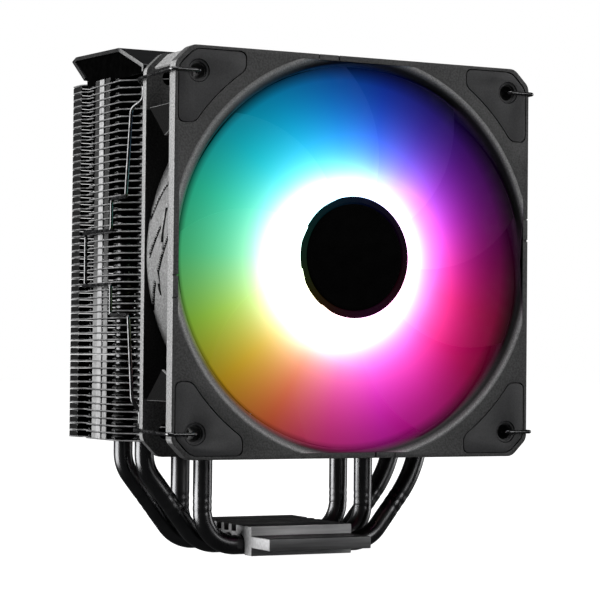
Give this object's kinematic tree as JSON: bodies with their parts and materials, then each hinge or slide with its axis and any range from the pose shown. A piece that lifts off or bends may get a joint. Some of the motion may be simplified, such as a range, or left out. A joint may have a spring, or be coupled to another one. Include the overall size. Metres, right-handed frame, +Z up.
{
  "type": "cpu tower cooler",
  "caption": "Tower heatsink with black fins and heat pipes on a machined base, a bent sheet top cover, and a lit axial fan held on its front by wire clips.",
  "frame": {"origin": "centre of the base block's contact face", "axes": "+Z up, away from the processor; the fan faces -Y and blows towards +Y; +X to the right seen from the fan"},
  "size_m": [0.1234, 0.0914, 0.1573],
  "materials": {
    "machined_aluminium": "brushed, machined, natural grey",
    "black_pipe": "gloss black plating over copper",
    "black_fin": "satin black coating over thin aluminium sheet",
    "cover_sheet": "dark brushed anodised sheet",
    "frame_plastic": "fine grained moulding, dark grey",
    "pad_rubber": "smooth matt rubber",
    "blade_plastic": "frosted translucent, lit from the hub in changing colours",
    "hub_cap_film": "plain dark disc, no mark",
    "motor_steel": "drawn and ground steel",
    "ferrite": "bonded ferrite",
    "bronze": "sintered, oil filled",
    "copper_wire": "enamelled copper wire",
    "board": "glass fibre board",
    "led": "clear lens over a lamp chip",
    "wire_steel": "black spring wire with bright highlights"
  },
  "bodies": {
    "heatsink": {"base_block": "machined_aluminium", "top_cover": "cover_sheet", "top_fin": "black_fin", "fan_frame": "frame_plastic", "bearing_sleeve": "bronze", "stator_core": "motor_steel", "circuit_board": "board", "heat_pipe_1": "black_pipe", "front_pad_1": "pad_rubber", "rear_pad_1": "pad_rubber", "stator_coil_1": "copper_wire", "led_1": "led", "heat_pipe_2": "black_pipe", "front_pad_2": "pad_rubber", "rear_pad_2": "pad_rubber", "stator_coil_2": "copper_wire", "led_2": "led", "heat_pipe_3": "black_pipe", "front_pad_3": "pad_rubber", "rear_pad_3": "pad_rubber", "stator_coil_3": "copper_wire", "led_3": "led", "heat_pipe_4": "black_pipe", "front_pad_4": "pad_rubber", "rear_pad_4": "pad_rubber", "stator_coil_4": "copper_wire", "led_4": "led", "fin_block_1": "black_fin", "fin_block_2": "black_fin", "fin_block_3": "black_fin"},
    "rotor": {"impeller": "blade_plastic", "rotor_yoke": "motor_steel", "magnet_ring": "ferrite", "shaft": "motor_steel", "hub_cap": "hub_cap_film"},
    "left_clip": {"left_wire_clip": "wire_steel"},
    "right_clip": {"right_wire_clip": "wire_steel"}
  },
  "joints": [
    {"name": "fan_spin", "type": "hinge", "parent": "heatsink", "child": "rotor", "pos_m": [0, -0.056, 0.0916], "axis": [0, 1, 0], "continuous": true},
    {"name": "left_clip_release", "type": "hinge", "parent": "heatsink", "child": "left_clip", "pos_m": [-0.0525, -0.0569, 0.0916], "axis": [0, 0, 1], "range_deg": [0, 25]},
    {"name": "right_clip_release", "type": "hinge", "parent": "heatsink", "child": "right_clip", "pos_m": [0.0525, -0.0569, 0.0916], "axis": [0, 0, -1], "range_deg": [0, 25]}
  ]
}
